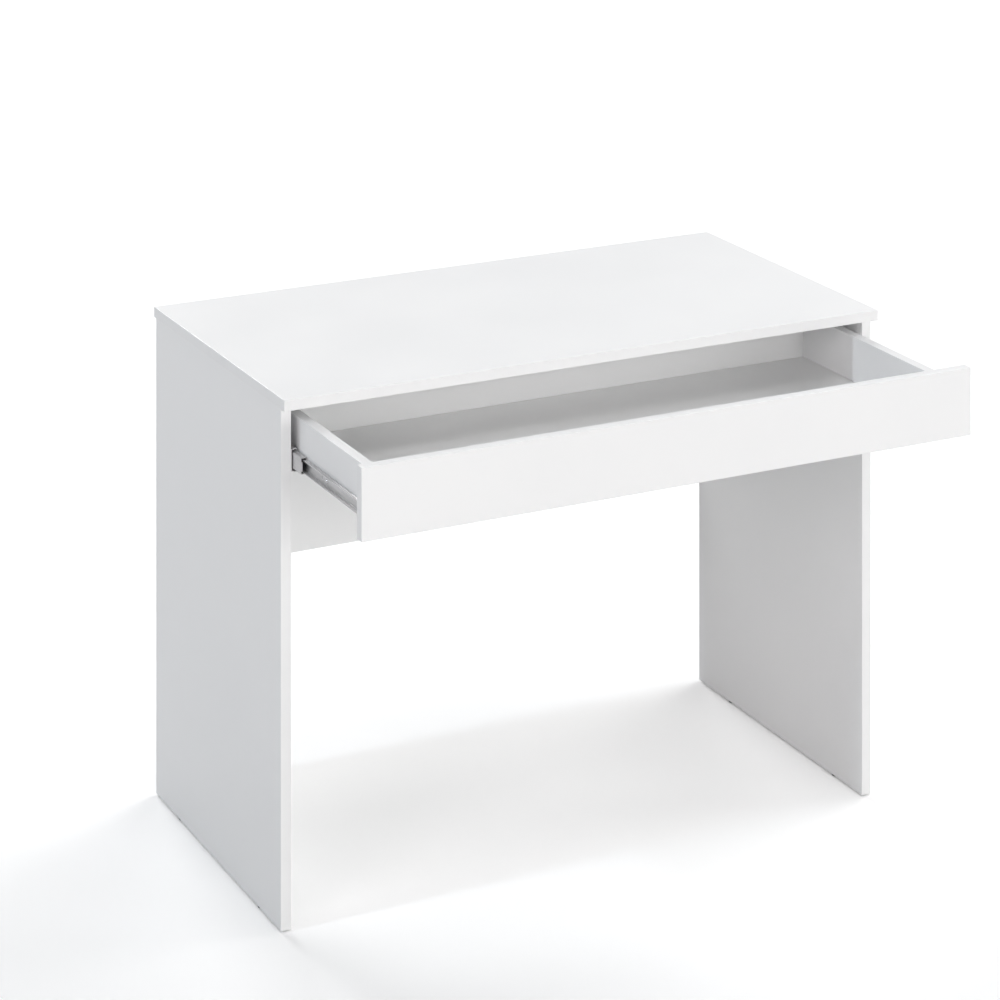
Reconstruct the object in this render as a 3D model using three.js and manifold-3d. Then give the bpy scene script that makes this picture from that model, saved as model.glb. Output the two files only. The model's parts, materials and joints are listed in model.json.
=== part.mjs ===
// White writing desk with one drawer on full-extension ball-bearing slides.
// Millimetres, +Z up, +X to the user's right, the user sits on the -Y side.
// Origin: on the floor, below the middle of the desk with its drawer pulled out by DRAWER_OPEN.

import * as THREE from "three";
import { mergeVertices } from "three/addons/utils/BufferGeometryUtils.js";
import Module from "manifold-3d";

// Driving dimensions of the desk
const DESK_WIDTH = 1000;
const DESK_DEPTH = 520;
const DESK_HEIGHT = 760;
const BOARD = 16; // thickness of every board but the drawer bottom
const TOP_SIDE_OVERHANG = 2; // top panel beyond the side panels' outer faces
const TOP_REAR_OVERHANG = 4;
const FOOT_HEIGHT = 2.5;
const FOOT_RADIUS = 7.5;
const FOOT_OFFSET = 157.5; // glide centres in front of and behind the desk's middle
const BACK_PANEL_HEIGHT = 398;

// Driving dimensions of the drawer
const DRAWER_OPEN = 253; // how far the drawer is pulled out
const FRONT_HEIGHT = 100;
const FRONT_REVEAL = 3.5; // gap between the drawer front and the top panel
const FRONT_END_INSET = 3; // drawer front short of each side panel's outer face
const CLOSING_GAP = 1.5; // between the closed drawer front and the side panels
const DRAWER_SIDE_LENGTH = 395;
const DRAWER_SIDE_HEIGHT = 70;
const DRAWER_SIDE_DROP = 15; // drawer side's top edge below the drawer front's top edge
const BOTTOM_THICKNESS = 3;
const BOTTOM_GROOVE = 6; // how far the bottom sheet reaches into the drawer front

// Driving dimensions of the slides
const SLIDE_GAP = 13; // between a side panel and the drawer side
const SLIDE_HEIGHT_Z = 667.3; // centre line of the slides above the floor
const SLIDE_LENGTH = 400;
const SLIDE_SETBACK = 0.5; // cabinet member behind the side panel's front edge
const STEEL = 1.25; // sheet thickness of the slide members
const INTERMEDIATE_LENGTH = 370;
const INTERMEDIATE_SETBACK = 21; // behind the side panel's front edge with the drawer closed
const INTERMEDIATE_OPEN = 53; // how far the intermediate members are pulled out
const DRAWER_MEMBER_LENGTH = 390;
const DRAWER_MEMBER_SETBACK = 2.5; // behind the drawer front
const RETAINER_LENGTH = 160;
const OUTER_RETAINER_SETBACK = 15.5; // behind the cabinet member's end with the drawer fully open
const INNER_RETAINER_SETBACK = 2; // behind the intermediate member's end with the drawer fully open
const CLEARANCE = 0.3; // around fasteners and between sliding pieces

// Driving dimensions of the fasteners
const CAM_RADIUS = 7.5;
const CAM_DEPTH = 12.5;
const CAM_REACH = 34; // cam centre behind the board edge that it pulls in
const BOLT_THREAD = 11; // length of the thread in the board
const BOLT_THREAD_RADIUS = 2.5;
const BOLT_SHANK_RADIUS = 3.25;
const BOLT_NECK_RADIUS = 1.5;
const BOLT_BORE_RADIUS = 4;
const DOWEL_RADIUS = 3.75;
const DOWEL_LENGTH = 30;
const DOWEL_IN_TOP = 12;
const ROUND = 12; // sides of a small round piece
const CAM_SIDES = 16;

// Planes worked out from the driving dimensions, for the left half and the closed drawer
const halfWidth = DESK_WIDTH / 2;
const topUnderside = DESK_HEIGHT - BOARD;
const panelOuter = -halfWidth + TOP_SIDE_OVERHANG;
const panelInner = panelOuter + BOARD;
const panelMiddle = panelOuter + BOARD / 2;
const panelFront = -DESK_DEPTH / 2 + BOARD + CLOSING_GAP;
const panelBack = DESK_DEPTH / 2 - TOP_REAR_OVERHANG;
const backPanelFront = panelBack - BOARD;
const backPanelBottom = topUnderside - BACK_PANEL_HEIGHT;
const frontFace = -DESK_DEPTH / 2;
const frontBack = frontFace + BOARD;
const frontTop = topUnderside - FRONT_REVEAL;
const frontBottom = frontTop - FRONT_HEIGHT;
const frontEnd = panelOuter + FRONT_END_INSET;
const sideOuter = panelInner + SLIDE_GAP;
const sideInner = sideOuter + BOARD;
const sideTop = frontTop - DRAWER_SIDE_DROP;
const sideBottom = sideTop - DRAWER_SIDE_HEIGHT;
const sideRear = frontBack + DRAWER_SIDE_LENGTH;

// Places of the fasteners
const topBoltPlaces = [-180, 200]; // Y of the bolts between top and side panel
const topDowelPlaces = [-212, 232];
const backBoltHeights = [390, 700];
const frontCamHeight = 704;
const backScrewHeight = 700;
const cabinetScrewPlaces = [-205, 115];
const drawerScrewPlaces = [-90, 70]; // with the drawer closed

const WELD = 1e-3; // corners closer than this are one
const wasm = await Module();
wasm.setup();

// ---- Materials -------------------------------------------------------------------------------

const paint = (color, roughness, metalness = 0) =>
  new THREE.MeshStandardMaterial({ color, roughness, metalness });
const finishes = {
  melamine: () => paint(0xf1f1f2, 0.45),
  hdf: () => paint(0xeeeeec, 0.55),
  zinc: () => paint(0xc4c7ca, 0.35, 0.9),
  castZinc: () => paint(0xa9abad, 0.5, 0.8),
  blackPlastic: () => paint(0x19191a, 0.5),
  beech: () => paint(0xd9bb8c, 0.7),
};

// ---- Solids ----------------------------------------------------------------------------------

// Exact axis maps, so that flush faces keep exact coordinates.
const [X, Y, Z] = [
  new THREE.Vector3(1, 0, 0),
  new THREE.Vector3(0, 1, 0),
  new THREE.Vector3(0, 0, 1),
];
const flip = (axis) => axis.clone().negate();
const basis = (x, y, z) => new THREE.Matrix4().makeBasis(x, y, z);
// A turned piece is drawn along +Y; each of these lays it along another direction.
const along = {
  up: basis(X, Z, flip(Y)),
  down: basis(X, flip(Z), Y),
  right: basis(flip(Y), X, Z),
  left: basis(Y, flip(X), Z),
  back: basis(X, Y, Z),
  front: basis(flip(X), flip(Y), Z),
};

function box(x0, x1, y0, y1, z0, z1) {
  const shape = new THREE.BoxGeometry(x1 - x0, y1 - y0, z1 - z0);
  return shape.translate((x0 + x1) / 2, (y0 + y1) / 2, (z0 + z1) / 2);
}

// A solid of revolution: profile is a list of [radius, height], which starts and ends on the axis.
function turned(profile, direction, place, sides = ROUND) {
  const points = profile.map(([radius, height]) => new THREE.Vector2(radius, height));
  return new THREE.LatheGeometry(points, sides).applyMatrix4(along[direction]).translate(...place);
}

const rod = (radius, length, direction, place, sides = ROUND) =>
  turned([[0, 0], [radius, 0], [radius, length], [0, length]], direction, place, sides);

// A bar of constant section along Y: outline is a list of [x, z], from y0 back to y1.
function bar(outline, y0, y1) {
  const section = new THREE.Shape(outline.map(([x, z]) => new THREE.Vector2(x, z)));
  const shape = new THREE.ExtrudeGeometry(section, { depth: y1 - y0, bevelEnabled: false });
  return shape.applyMatrix4(basis(X, Z, flip(Y))).translate(0, y1, 0);
}

function toManifold(shape) {
  const bare = shape.clone();
  bare.deleteAttribute("normal");
  bare.deleteAttribute("uv");
  const merged = mergeVertices(bare, WELD);
  return new wasm.Manifold(
    new wasm.Mesh({
      numProp: 3,
      vertProperties: merged.attributes.position.array,
      triVerts: new Uint32Array(merged.index.array),
    }),
  );
}

function toGeometry(solid) {
  const mesh = solid.getMesh();
  const shape = new THREE.BufferGeometry();
  shape.setAttribute("position", new THREE.BufferAttribute(mesh.vertProperties, 3));
  shape.setIndex(new THREE.BufferAttribute(mesh.triVerts, 1));
  shape.computeVertexNormals();
  return shape;
}

const cut = (shape, tools) =>
  toGeometry(tools.reduce((solid, tool) => solid.subtract(toManifold(tool)), toManifold(shape)));
const join = (shapes) =>
  toGeometry(shapes.map(toManifold).reduce((solid, other) => solid.add(other)));

function piece(name, shape, finish) {
  const mesh = new THREE.Mesh(shape, finishes[finish]());
  mesh.name = name;
  return mesh;
}

// ---- Fasteners -------------------------------------------------------------------------------

// Opposite directions, for holes that are cut from the far end of a fastener.
const opposite = { up: "down", down: "up", left: "right", right: "left", front: "back", back: "front" };
const step = {
  up: [0, 0, 1],
  down: [0, 0, -1],
  left: [-1, 0, 0],
  right: [1, 0, 0],
  front: [0, -1, 0],
  back: [0, 1, 0],
};
const moved = (place, direction, distance) =>
  place.map((value, i) => value + step[direction][i] * distance);

// The bolt of a cam joint: threaded into one board, its head lies in the cam of the other.
// place is on the face of the board that holds the thread, direction points to the cam.
const NECK_START = CAM_REACH - 5;
const NECK_END = CAM_REACH - 2;
const HEAD_END = CAM_REACH + 1;
const camBolt = (place, direction) =>
  turned(
    [
      [0, -BOLT_THREAD],
      [BOLT_THREAD_RADIUS, 1 - BOLT_THREAD],
      [BOLT_THREAD_RADIUS, 0],
      [BOLT_SHANK_RADIUS, 0.5],
      [BOLT_SHANK_RADIUS, NECK_START - 1],
      [BOLT_NECK_RADIUS, NECK_START],
      [BOLT_NECK_RADIUS, NECK_END],
      [BOLT_SHANK_RADIUS, NECK_END + 1],
      [BOLT_SHANK_RADIUS, HEAD_END],
      [0, HEAD_END + 0.5],
    ],
    direction,
    place,
  );
const camBoltThreadHole = (place, direction) =>
  rod(BOLT_THREAD_RADIUS + CLEARANCE, BOLT_THREAD + CLEARANCE, opposite[direction], place);
const camBoltBore = (place, direction) =>
  rod(BOLT_BORE_RADIUS, CAM_REACH, direction, place);

// The cam: a turned housing let into a board, facing outwards, with a bore for the bolt's head.
const DRIVER_SLOT = { length: 4.4, width: 1.8, depth: 1.6 };
const CAM_BORE_END = CAM_REACH + 2.5;
function cam(centre, facing, boltPlace, boltDirection) {
  const deep = CLEARANCE - CAM_DEPTH;
  const radius = CAM_RADIUS - CLEARANCE;
  const body = turned([[0, deep], [radius, deep], [radius, 0], [0, 0]], facing, centre, CAM_SIDES);
  const across = facing === "back" ? 2 : 1;
  const size = step[facing].map((out, i) => {
    if (out) return 2 * DRIVER_SLOT.depth;
    return i === across ? DRIVER_SLOT.length : DRIVER_SLOT.width;
  });
  return cut(body, [
    rod(BOLT_BORE_RADIUS, CAM_BORE_END, boltDirection, boltPlace),
    new THREE.BoxGeometry(...size).translate(...centre),
  ]);
}
const camHole = (centre, facing) =>
  rod(CAM_RADIUS, CAM_DEPTH, opposite[facing], centre, CAM_SIDES);

// A countersunk screw with its head's face at 0 and its tip at length; gap widens it to its hole.
const countersunk = (headRadius, shankRadius, headHeight, length, gap) => [
  [0, 0],
  [headRadius + gap, 0],
  [shankRadius + gap, headHeight],
  [shankRadius + gap, length - shankRadius + gap],
  [0, length + gap],
];

// The two crossed slots of a screw's driver recess, for screws that run along X.
const RECESS_LENGTH = 4.4;
const RECESS_WIDTH = 0.7;
const crossRecess = (place, depth) =>
  [[RECESS_LENGTH, RECESS_WIDTH], [RECESS_WIDTH, RECESS_LENGTH]].map(([y, z]) =>
    new THREE.BoxGeometry(2 * depth, y, z).translate(...place),
  );

// Short screws hold the slides: flat heads in the cabinet members, pan heads in the drawer members.
const SCREW_LENGTH = 13;
const SCREW_RADIUS = 1.6;
const SCREW_RECESS = 1.2;
const flatScrewProfile = (gap) => countersunk(3.6, SCREW_RADIUS, 2.2, SCREW_LENGTH, gap);
const flatScrew = (place, direction) =>
  cut(turned(flatScrewProfile(0), direction, place), crossRecess(place, SCREW_RECESS));
const flatScrewHole = (place, direction) => turned(flatScrewProfile(CLEARANCE), direction, place);

// A pan-head screw through a sheet of steel into a board: place is where the head rests.
const PAN_HEIGHT = 2;
const PAN_RADIUS = 3.4;
const PAN_CROWN_RADIUS = 2.2;
const PAN_SHOULDER = 1.1;
const panScrew = (place, direction) =>
  cut(
    turned(
      [
        [0, -PAN_HEIGHT],
        [PAN_CROWN_RADIUS, -PAN_HEIGHT],
        [PAN_RADIUS, -PAN_SHOULDER],
        [PAN_RADIUS, 0],
        [SCREW_RADIUS, 0],
        [SCREW_RADIUS, SCREW_LENGTH - SCREW_RADIUS],
        [0, SCREW_LENGTH],
      ],
      direction,
      place,
    ),
    crossRecess(moved(place, opposite[direction], PAN_HEIGHT), SCREW_RECESS),
  );
const panScrewHole = (place, direction) =>
  rod(SCREW_RADIUS + CLEARANCE, SCREW_LENGTH + CLEARANCE, direction, place);

// The long screw that holds a drawer side to the drawer back: head flush with the side.
const LONG_SCREW_LENGTH = 48;
const LONG_SCREW_RECESS = 2;
const longScrewProfile = (gap) => countersunk(4.8, 3.2, 2.6, LONG_SCREW_LENGTH, gap);

// ---- Slide members ---------------------------------------------------------------------------

// Sections of the left slide. u runs from the side panel's inner face to the drawer side, v is
// the height above the slide's centre line.
const slidePoint = ([u, v]) => [panelInner + u, SLIDE_HEIGHT_Z + v];

// A channel whose web stands at uWeb and whose lips run to uLip, at the outer height halfHeight.
function channel(uWeb, uLip, halfHeight, hook = 0) {
  const inward = Math.sign(uLip - uWeb);
  const uInner = uWeb + inward * STEEL;
  const inner = halfHeight - STEEL;
  const upper = [
    [uWeb, halfHeight],
    [uLip, halfHeight],
    [uLip, inner - hook],
    [uLip - inward * (hook ? STEEL : 0), inner - hook],
    [uLip - inward * (hook ? STEEL : 0), inner],
    [uInner, inner],
  ];
  const points = hook ? upper : upper.filter((point, i) => i !== 3 && i !== 4);
  const lower = points.map(([u, v]) => [u, -v]).reverse();
  const outline = [...points, ...lower].map(slidePoint);
  return inward > 0 ? outline.reverse() : outline;
}

// Half heights of the members, and how far out their lips and webs stand.
const CABINET_HALF = 17;
const INTERMEDIATE_HALF = 12;
const DRAWER_HALF = 9;
const CABINET_LIP = 9.5;
const CABINET_HOOK = 0.75;
const INTERMEDIATE_WEB = 2.5;
const INTERMEDIATE_LIP = 10.75;
const DRAWER_LIP = 5.5;
const cabinetFrontEnd = panelFront + SLIDE_SETBACK;
const intermediateFrontEnd = panelFront + INTERMEDIATE_SETBACK;
const drawerMemberFrontEnd = frontBack + DRAWER_MEMBER_SETBACK;
// Retainers with the drawer closed: each lies half the travel behind its place when open.
const STAGE = SLIDE_LENGTH / 2;
const outerRetainerFront = cabinetFrontEnd + OUTER_RETAINER_SETBACK + STAGE / 2;
const innerRetainerFront = intermediateFrontEnd + INNER_RETAINER_SETBACK + STAGE / 2;

const cabinetScrewPoint = (y) => [panelInner + STEEL, y, SLIDE_HEIGHT_Z];
const drawerScrewPoint = (y) => [sideOuter - STEEL, y, SLIDE_HEIGHT_Z];

const cabinetMember = () =>
  cut(
    bar(
      channel(0, CABINET_LIP, CABINET_HALF, CABINET_HOOK),
      cabinetFrontEnd,
      cabinetFrontEnd + SLIDE_LENGTH,
    ),
    cabinetScrewPlaces.map((y) => flatScrewHole(cabinetScrewPoint(y), "left")),
  );
const intermediateMember = () =>
  bar(
    channel(INTERMEDIATE_WEB, INTERMEDIATE_LIP, INTERMEDIATE_HALF),
    intermediateFrontEnd,
    intermediateFrontEnd + INTERMEDIATE_LENGTH,
  );
const drawerMember = () =>
  cut(
    bar(
      channel(SLIDE_GAP, DRAWER_LIP, DRAWER_HALF),
      drawerMemberFrontEnd,
      drawerMemberFrontEnd + DRAWER_MEMBER_LENGTH,
    ),
    drawerScrewPlaces.map((y) => panScrewHole(drawerScrewPoint(y), "right")),
  );

// A retainer is a thin channel whose arms hold the balls between two members' lips.
const OUTER_RETAINER_SHEET = 0.6;
const OUTER_RETAINER_ARM = 8; // how far from the side panel its arms reach
const INNER_RETAINER_SHEET = 0.8;
const INNER_RETAINER_ARM = 9.5;
function retainer(uWeb, webThickness, uArm, vLow, vHigh, front) {
  const half = [
    [uWeb, vHigh],
    [uArm, vHigh],
    [uArm, vLow],
    [uWeb + webThickness, vLow],
  ];
  const outline = [...half, ...half.map(([u, v]) => [u, -v]).reverse()].map(slidePoint);
  return bar(outline.reverse(), front, front + RETAINER_LENGTH);
}
const outerRetainer = () =>
  retainer(
    STEEL + CLEARANCE,
    OUTER_RETAINER_SHEET,
    OUTER_RETAINER_ARM,
    INTERMEDIATE_HALF + CLEARANCE,
    CABINET_HALF - STEEL - CLEARANCE,
    outerRetainerFront,
  );
const innerRetainer = () =>
  retainer(
    INTERMEDIATE_WEB + STEEL + CLEARANCE,
    INNER_RETAINER_SHEET,
    INNER_RETAINER_ARM,
    DRAWER_HALF + CLEARANCE,
    INTERMEDIATE_HALF - STEEL - CLEARANCE,
    innerRetainerFront,
  );

// A soft stop between the lips at the rear end of the cabinet member.
const BUMPER_LENGTH = 6;
const BUMPER_HALF_HEIGHT = 14;
const BUMPER_REACH = 8;
function bumper() {
  const rear = cabinetFrontEnd + SLIDE_LENGTH;
  return box(
    panelInner + STEEL + CLEARANCE,
    panelInner + BUMPER_REACH,
    rear - BUMPER_LENGTH,
    rear,
    SLIDE_HEIGHT_Z - BUMPER_HALF_HEIGHT,
    SLIDE_HEIGHT_Z + BUMPER_HALF_HEIGHT,
  );
}

// ---- Boards ----------------------------------------------------------------------------------

const topBoltPoint = (y) => [panelMiddle, y, topUnderside];
const topCamCentre = (y) => [panelInner, y, topUnderside - CAM_REACH];
const backBoltPoint = (z) => [panelInner, (backPanelFront + panelBack) / 2, z];
const backCamCentre = (z) => [panelInner + CAM_REACH, panelBack, z];
const dowelBottom = (y) => [panelMiddle, y, topUnderside + DOWEL_IN_TOP - DOWEL_LENGTH];
const dowelHole = (y) => {
  const [x, , z] = dowelBottom(y);
  return rod(DOWEL_RADIUS + CLEARANCE, DOWEL_LENGTH + 2 * CLEARANCE, "up", [x, y, z - CLEARANCE]);
};
const footPoint = (y) => [panelMiddle, y, FOOT_HEIGHT];
const NAIL_RADIUS = 1.1;
const NAIL_LENGTH = 14;
const NAIL_SIDES = 8;
const nailHole = (y) =>
  rod(NAIL_RADIUS + CLEARANCE, NAIL_LENGTH + CLEARANCE, "up", footPoint(y), NAIL_SIDES);

// The same tools mirrored to the right half.
const mirrored = (tool) => {
  const points = tool.clone().scale(-1, 1, 1);
  const flat = points.index ? points.toNonIndexed() : points;
  const { array } = flat.attributes.position;
  for (let i = 0; i < array.length; i += 9) {
    for (let k = 0; k < 3; k += 1) {
      [array[i + 3 + k], array[i + 6 + k]] = [array[i + 6 + k], array[i + 3 + k]];
    }
  }
  return flat;
};
const bothSides = (tools) => [...tools, ...tools.map(mirrored)];

const topPanel = () =>
  cut(
    box(-halfWidth, halfWidth, -DESK_DEPTH / 2, DESK_DEPTH / 2, topUnderside, DESK_HEIGHT),
    bothSides([
      ...topBoltPlaces.map((y) => camBoltThreadHole(topBoltPoint(y), "down")),
      ...topDowelPlaces.map(dowelHole),
    ]),
  );

const sidePanel = () =>
  cut(box(panelOuter, panelInner, panelFront, panelBack, FOOT_HEIGHT, topUnderside), [
    ...topBoltPlaces.map((y) => camBoltBore(topBoltPoint(y), "down")),
    ...topBoltPlaces.map((y) => camHole(topCamCentre(y), "right")),
    ...topDowelPlaces.map(dowelHole),
    ...backBoltHeights.map((z) => camBoltThreadHole(backBoltPoint(z), "right")),
    ...cabinetScrewPlaces.map((y) => flatScrewHole(cabinetScrewPoint(y), "left")),
    ...[-FOOT_OFFSET, FOOT_OFFSET].map(nailHole),
  ]);

const backPanel = () =>
  cut(
    box(panelInner, -panelInner, backPanelFront, panelBack, backPanelBottom, topUnderside),
    bothSides([
      ...backBoltHeights.map((z) => camBoltBore(backBoltPoint(z), "right")),
      ...backBoltHeights.map((z) => camHole(backCamCentre(z), "back")),
    ]),
  );

// A glide foot: a disc with a chamfered rim and the nail that holds it, which starts inside it.
const FOOT_CHAMFER = 1;
const FOOT_SIDES = 20;
const footProfile = [
  [0, 0],
  [FOOT_RADIUS - FOOT_CHAMFER, 0],
  [FOOT_RADIUS, FOOT_CHAMFER],
  [FOOT_RADIUS, FOOT_HEIGHT],
  [0, FOOT_HEIGHT],
];
const NAIL_IN_FOOT = 1;
const foot = (y) =>
  join([
    turned(footProfile, "up", [panelMiddle, y, 0], FOOT_SIDES),
    rod(
      NAIL_RADIUS,
      NAIL_LENGTH + NAIL_IN_FOOT,
      "up",
      [panelMiddle, y, FOOT_HEIGHT - NAIL_IN_FOOT],
      NAIL_SIDES,
    ),
  ]);

const frontBoltPoint = [(sideOuter + sideInner) / 2, frontBack, frontCamHeight];
const frontCamCentre = [sideOuter, frontBack + CAM_REACH, frontCamHeight];
const longScrewPoint = [sideOuter, sideRear - BOARD / 2, backScrewHeight];
const longScrew = () =>
  cut(
    turned(longScrewProfile(0), "right", longScrewPoint),
    crossRecess(longScrewPoint, LONG_SCREW_RECESS),
  );
const longScrewHole = () => turned(longScrewProfile(CLEARANCE), "right", longScrewPoint);

const drawerFront = () =>
  cut(box(frontEnd, -frontEnd, frontFace, frontBack, frontBottom, frontTop), [
    ...bothSides([camBoltThreadHole(frontBoltPoint, "back")]),
    box(
      sideOuter - CLEARANCE,
      -sideOuter + CLEARANCE,
      frontBack - BOTTOM_GROOVE - CLEARANCE,
      frontBack + 1,
      sideBottom - BOTTOM_THICKNESS - CLEARANCE,
      sideBottom + CLEARANCE,
    ),
  ]);

const drawerSide = () =>
  cut(box(sideOuter, sideInner, frontBack, sideRear, sideBottom, sideTop), [
    camBoltBore(frontBoltPoint, "back"),
    camHole(frontCamCentre, "left"),
    longScrewHole(),
    ...drawerScrewPlaces.map((y) => panScrewHole(drawerScrewPoint(y), "right")),
  ]);

const drawerBack = () =>
  cut(
    box(sideInner, -sideInner, sideRear - BOARD, sideRear, sideBottom, sideTop),
    bothSides([longScrewHole()]),
  );

const drawerBottom = () =>
  box(
    sideOuter,
    -sideOuter,
    frontBack - BOTTOM_GROOVE,
    sideRear,
    sideBottom - BOTTOM_THICKNESS,
    sideBottom,
  );

// ---- Assembly --------------------------------------------------------------------------------

// Half of the desk with its slide, drawn for the left; the right half is its mirror image.
function half(side) {
  const group = new THREE.Group();
  const rows = [["front", 0], ["rear", 1]];
  group.add(piece(`${side}_side_panel`, sidePanel(), "melamine"));
  rows.forEach(([row, i]) => {
    const y = topBoltPlaces[i];
    group.add(
      piece(`${side}_${row}_foot`, foot((2 * i - 1) * FOOT_OFFSET), "blackPlastic"),
      piece(`${side}_${row}_top_cam_bolt`, camBolt(topBoltPoint(y), "down"), "zinc"),
      piece(
        `${side}_${row}_top_cam`,
        cam(topCamCentre(y), "right", topBoltPoint(y), "down"),
        "castZinc",
      ),
      piece(
        `${side}_${row}_dowel`,
        rod(DOWEL_RADIUS, DOWEL_LENGTH, "up", dowelBottom(topDowelPlaces[i])),
        "beech",
      ),
      piece(
        `${side}_${row}_cabinet_screw`,
        flatScrew(cabinetScrewPoint(cabinetScrewPlaces[i]), "left"),
        "zinc",
      ),
    );
  });
  ["lower", "upper"].forEach((row, i) => {
    const z = backBoltHeights[i];
    group.add(
      piece(`${side}_${row}_back_cam_bolt`, camBolt(backBoltPoint(z), "right"), "zinc"),
      piece(
        `${side}_${row}_back_cam`,
        cam(backCamCentre(z), "back", backBoltPoint(z), "right"),
        "castZinc",
      ),
    );
  });
  group.add(piece(`${side}_slide_cabinet_member`, cabinetMember(), "zinc"));
  group.add(piece(`${side}_slide_bumper`, bumper(), "blackPlastic"));

  const outerCage = new THREE.Group();
  outerCage.position.y = -INTERMEDIATE_OPEN / 2;
  outerCage.add(piece(`${side}_outer_ball_retainer`, outerRetainer(), "zinc"));

  const intermediate = new THREE.Group();
  intermediate.position.y = -INTERMEDIATE_OPEN;
  intermediate.add(piece(`${side}_slide_intermediate_member`, intermediateMember(), "zinc"));

  const innerCage = new THREE.Group();
  innerCage.position.y = -(DRAWER_OPEN - INTERMEDIATE_OPEN) / 2;
  innerCage.add(piece(`${side}_inner_ball_retainer`, innerRetainer(), "blackPlastic"));
  intermediate.add(innerCage);

  group.add(outerCage, intermediate);
  return group;
}

// Half of the drawer box, which rides with the drawer.
function drawerHalf(side) {
  const group = new THREE.Group();
  group.add(
    piece(`drawer_${side}_side`, drawerSide(), "melamine"),
    piece(`${side}_slide_drawer_member`, drawerMember(), "zinc"),
    piece(`${side}_front_cam_bolt`, camBolt(frontBoltPoint, "back"), "zinc"),
    piece(`${side}_front_cam`, cam(frontCamCentre, "left", frontBoltPoint, "back"), "castZinc"),
    piece(`${side}_drawer_back_screw`, longScrew(), "zinc"),
  );
  ["front", "rear"].forEach((row, i) => {
    const point = drawerScrewPoint(drawerScrewPlaces[i]);
    group.add(piece(`${side}_${row}_drawer_screw`, panScrew(point, "right"), "zinc"));
  });
  return group;
}

const drawer = new THREE.Group();
drawer.position.y = -DRAWER_OPEN;
drawer.add(
  piece("drawer_front", drawerFront(), "melamine"),
  piece("drawer_back", drawerBack(), "melamine"),
  piece("drawer_bottom", drawerBottom(), "hdf"),
);

const desk = new THREE.Group();
desk.position.y = DRAWER_OPEN / 2;
desk.add(
  piece("top_panel", topPanel(), "melamine"),
  piece("back_panel", backPanel(), "melamine"),
  drawer,
);
["left", "right"].forEach((side) => {
  const [carcassHalf, boxHalf] = [half(side), drawerHalf(side)];
  if (side === "right") {
    carcassHalf.scale.x = -1;
    boxHalf.scale.x = -1;
  }
  desk.add(carcassHalf);
  drawer.add(boxHalf);
});

const part = new THREE.Group();
part.add(desk);

export default part;
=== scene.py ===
"""Looks of a white writing desk with one drawer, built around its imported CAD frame.

Metres, +Z up, +X to the user's right; the user sits on the -Y side and the drawer opens towards -Y.
Shapes of small pieces are written in millimetres and scaled by MM.
"""
import json
import math

import bmesh
import bpy
from mathutils import Matrix, Vector


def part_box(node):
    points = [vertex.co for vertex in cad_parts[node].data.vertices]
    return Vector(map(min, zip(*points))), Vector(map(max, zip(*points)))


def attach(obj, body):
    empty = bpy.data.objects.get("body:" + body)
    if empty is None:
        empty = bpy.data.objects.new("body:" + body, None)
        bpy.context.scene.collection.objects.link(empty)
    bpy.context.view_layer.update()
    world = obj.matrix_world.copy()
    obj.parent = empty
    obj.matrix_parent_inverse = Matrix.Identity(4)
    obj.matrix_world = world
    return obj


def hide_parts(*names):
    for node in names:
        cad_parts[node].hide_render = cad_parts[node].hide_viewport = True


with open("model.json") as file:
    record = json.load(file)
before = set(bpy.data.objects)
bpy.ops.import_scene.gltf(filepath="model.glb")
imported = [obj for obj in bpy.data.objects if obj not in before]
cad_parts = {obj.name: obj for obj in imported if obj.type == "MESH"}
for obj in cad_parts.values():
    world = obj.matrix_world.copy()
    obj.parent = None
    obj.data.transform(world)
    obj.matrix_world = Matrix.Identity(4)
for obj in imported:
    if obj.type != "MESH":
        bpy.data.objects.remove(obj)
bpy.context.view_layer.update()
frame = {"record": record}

MM = 0.001
X, Y, Z = 0, 1, 2
SIDES = (("left", -1), ("right", 1))

# ---- The camera ---------------------------------------------------------------------------------
# A view camera whose back stands upright, so that upright edges stay parallel in the picture. Its
# axes are therefore not square to each other, which takes a stand with a slanted matrix.

CAMERA_YAW = math.radians(26.53)  # to the right of +Y
CAMERA_EYE = Vector((-2.2364, -4.2298, 2.1607))
AIM_RIGHT = 0.0064  # slope of the line to the picture's middle, per metre ahead
AIM_DOWN = 0.3470
SENSOR = 36.0
LENS = 113.23  # for a picture plane square to the floor
FAR_CLIP = 100.0


def make_camera():
    ahead = Vector((math.sin(CAMERA_YAW), math.cos(CAMERA_YAW), 0))
    right = Vector((ahead.y, -ahead.x, 0))
    up = Vector((0, 0, 1))
    aim = ahead + AIM_RIGHT * right - AIM_DOWN * up
    data = bpy.data.cameras.new("camera")
    data.sensor_width = SENSOR
    data.lens = LENS * aim.length
    data.clip_end = FAR_CLIP
    camera = bpy.data.objects.new("camera", data)
    stand = bpy.data.objects.new("camera_stand", None)
    for item in (camera, stand):
        bpy.context.scene.collection.objects.link(item)
    slanted = Matrix((right, up, -aim.normalized())).transposed().to_4x4()
    slanted.translation = CAMERA_EYE
    camera.parent = stand
    camera.matrix_parent_inverse = slanted
    bpy.context.scene.camera = camera


# ---- Materials ----------------------------------------------------------------------------------


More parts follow.
